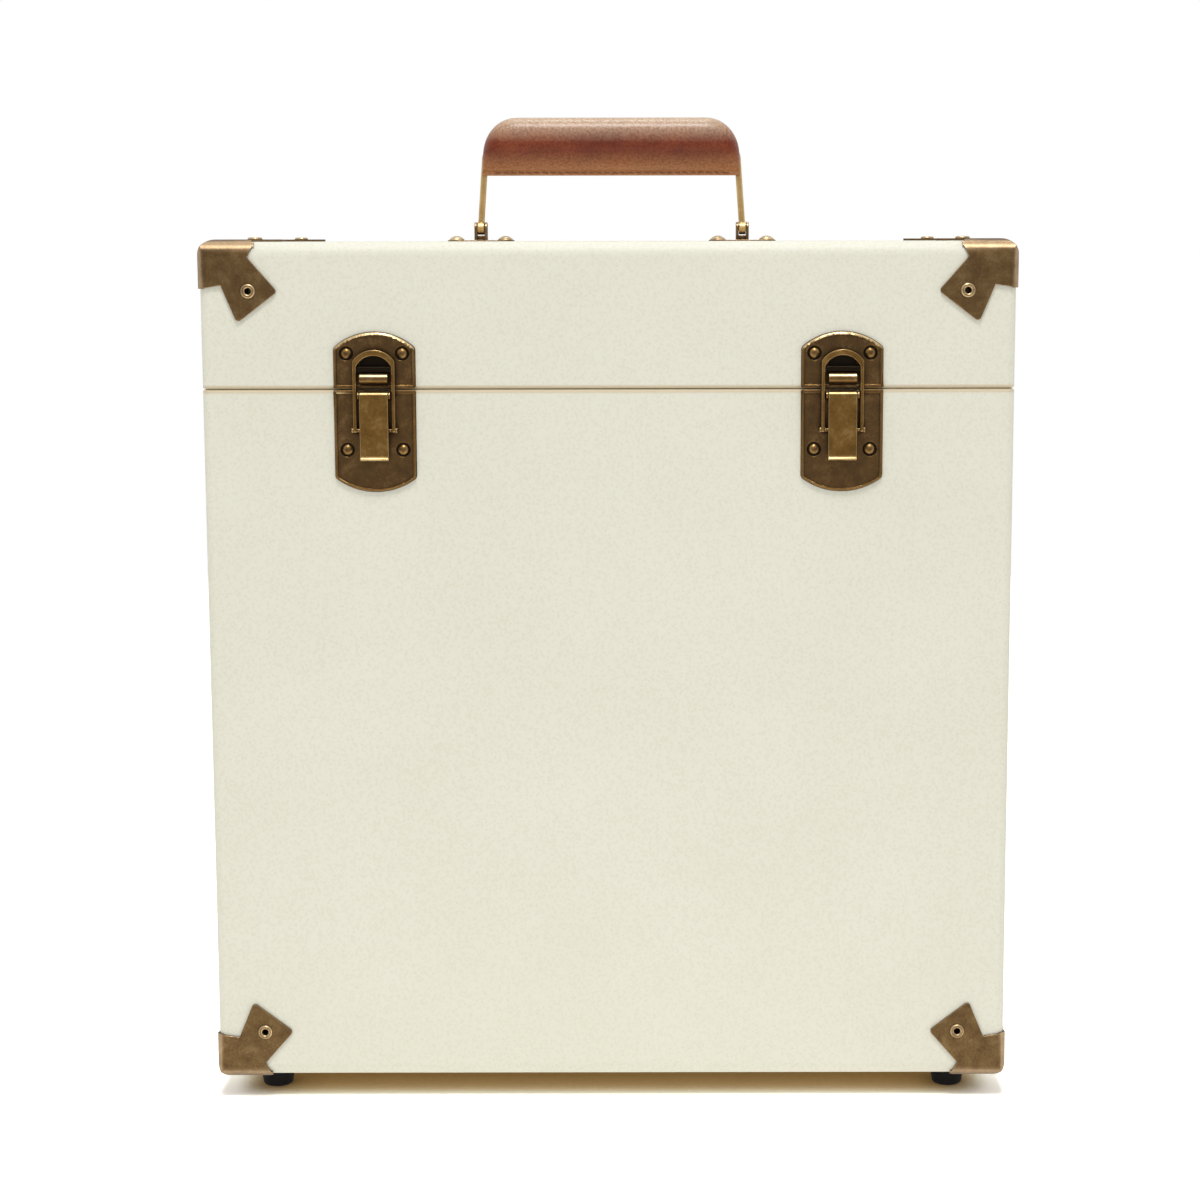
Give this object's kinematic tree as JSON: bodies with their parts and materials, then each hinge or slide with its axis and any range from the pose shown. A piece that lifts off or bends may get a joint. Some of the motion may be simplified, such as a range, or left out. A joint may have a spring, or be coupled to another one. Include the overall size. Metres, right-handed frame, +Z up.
{
  "type": "record carrying case",
  "caption": "Upright board case with a hinged lid, draw latches with swinging levers, stamped corner pieces, rubber feet and a leather grip on a folding wire bail.",
  "frame": {"origin": "on the floor plane under the middle of the case, centred over its width and depth", "axes": "+Z up, +X to the right as seen from the front, the front with the latches faces -Y"},
  "size_m": [0.3538, 0.1932, 0.4369],
  "materials": {
    "board": "raw plywood",
    "leatherette": "grained vinyl leathercloth",
    "lining": "flocked",
    "brass": "antiqued, worn bright at the edges",
    "screw_steel": "plated",
    "rubber": "matte",
    "leather": "waxed brown"
  },
  "bodies": {
    "base": {"base_front_panel": "board", "base_back_panel": "board", "base_left_panel": "board", "base_right_panel": "board", "base_bottom_panel": "board", "base_covering": "leatherette", "base_lining": "lining", "corner_bottom_front_left": "brass", "corner_bottom_front_right": "brass", "corner_bottom_back_left": "brass", "corner_bottom_back_right": "brass", "base_corner_eyelets": "brass", "foot_front_left": "rubber", "foot_front_right": "rubber", "foot_back_left": "rubber", "foot_back_right": "rubber", "foot_screws": "screw_steel", "latch_plate_left": "brass", "latch_plate_right": "brass", "latch_plate_rivets": "brass", "lever_pin_left": "brass", "lever_pin_right": "brass", "hinge_leaf_base_left": "brass", "hinge_leaf_base_right": "brass", "base_hinge_rivets": "brass", "hinge_pin_left": "brass", "hinge_pin_right": "brass"},
    "lid": {"lid_top_panel": "board", "lid_front_panel": "board", "lid_back_panel": "board", "lid_left_panel": "board", "lid_right_panel": "board", "lid_covering": "leatherette", "lid_lining": "lining", "corner_top_front_left": "brass", "corner_top_front_right": "brass", "corner_top_back_left": "brass", "corner_top_back_right": "brass", "lid_corner_eyelets": "brass", "catch_plate_left": "brass", "catch_plate_right": "brass", "catch_plate_rivets": "brass", "hinge_leaf_lid_left": "brass", "hinge_leaf_lid_right": "brass", "lid_hinge_rivets": "brass", "handle_bracket_left": "brass", "handle_bracket_right": "brass", "handle_bracket_rivets": "brass", "handle_pins": "brass"},
    "lever_left": {"latch_lever_left": "brass", "loop_pin_left": "brass"},
    "lever_right": {"latch_lever_right": "brass", "loop_pin_right": "brass"},
    "loop_left": {"latch_loop_left": "brass"},
    "loop_right": {"latch_loop_right": "brass"},
    "handle": {"handle_wire": "brass", "handle_grip": "leather"}
  },
  "joints": [
    {"name": "lid_open", "type": "hinge", "parent": "base", "child": "lid", "pos_m": [0, 0.0937, 0.3175], "axis": [-1, 0, 0], "range_deg": [0, 175]},
    {"name": "lever_left_swing", "type": "hinge", "parent": "base", "child": "lever_left", "pos_m": [-0.1005, -0.0942, 0.3149], "axis": [-1, 0, 0], "range_deg": [0, 105]},
    {"name": "loop_left_fold", "type": "hinge", "parent": "lever_left", "child": "loop_left", "pos_m": [-0.1005, -0.0932, 0.3], "axis": [-1, 0, 0], "range_deg": [-80, 0]},
    {"name": "lever_right_swing", "type": "hinge", "parent": "base", "child": "lever_right", "pos_m": [0.1005, -0.0942, 0.3149], "axis": [-1, 0, 0], "range_deg": [0, 105]},
    {"name": "loop_right_fold", "type": "hinge", "parent": "lever_right", "child": "loop_right", "pos_m": [0.1005, -0.0932, 0.3], "axis": [-1, 0, 0], "range_deg": [-80, 0]},
    {"name": "handle_swing", "type": "hinge", "parent": "lid", "child": "handle", "pos_m": [0, 0, 0.3864], "axis": [1, 0, 0], "range_deg": [-78, 78]}
  ],
  "couplings": [
    {"joint": "loop_left_fold", "follows": "lever_left_swing", "ratio": -0.75},
    {"joint": "loop_right_fold", "follows": "lever_right_swing", "ratio": -0.75}
  ]
}
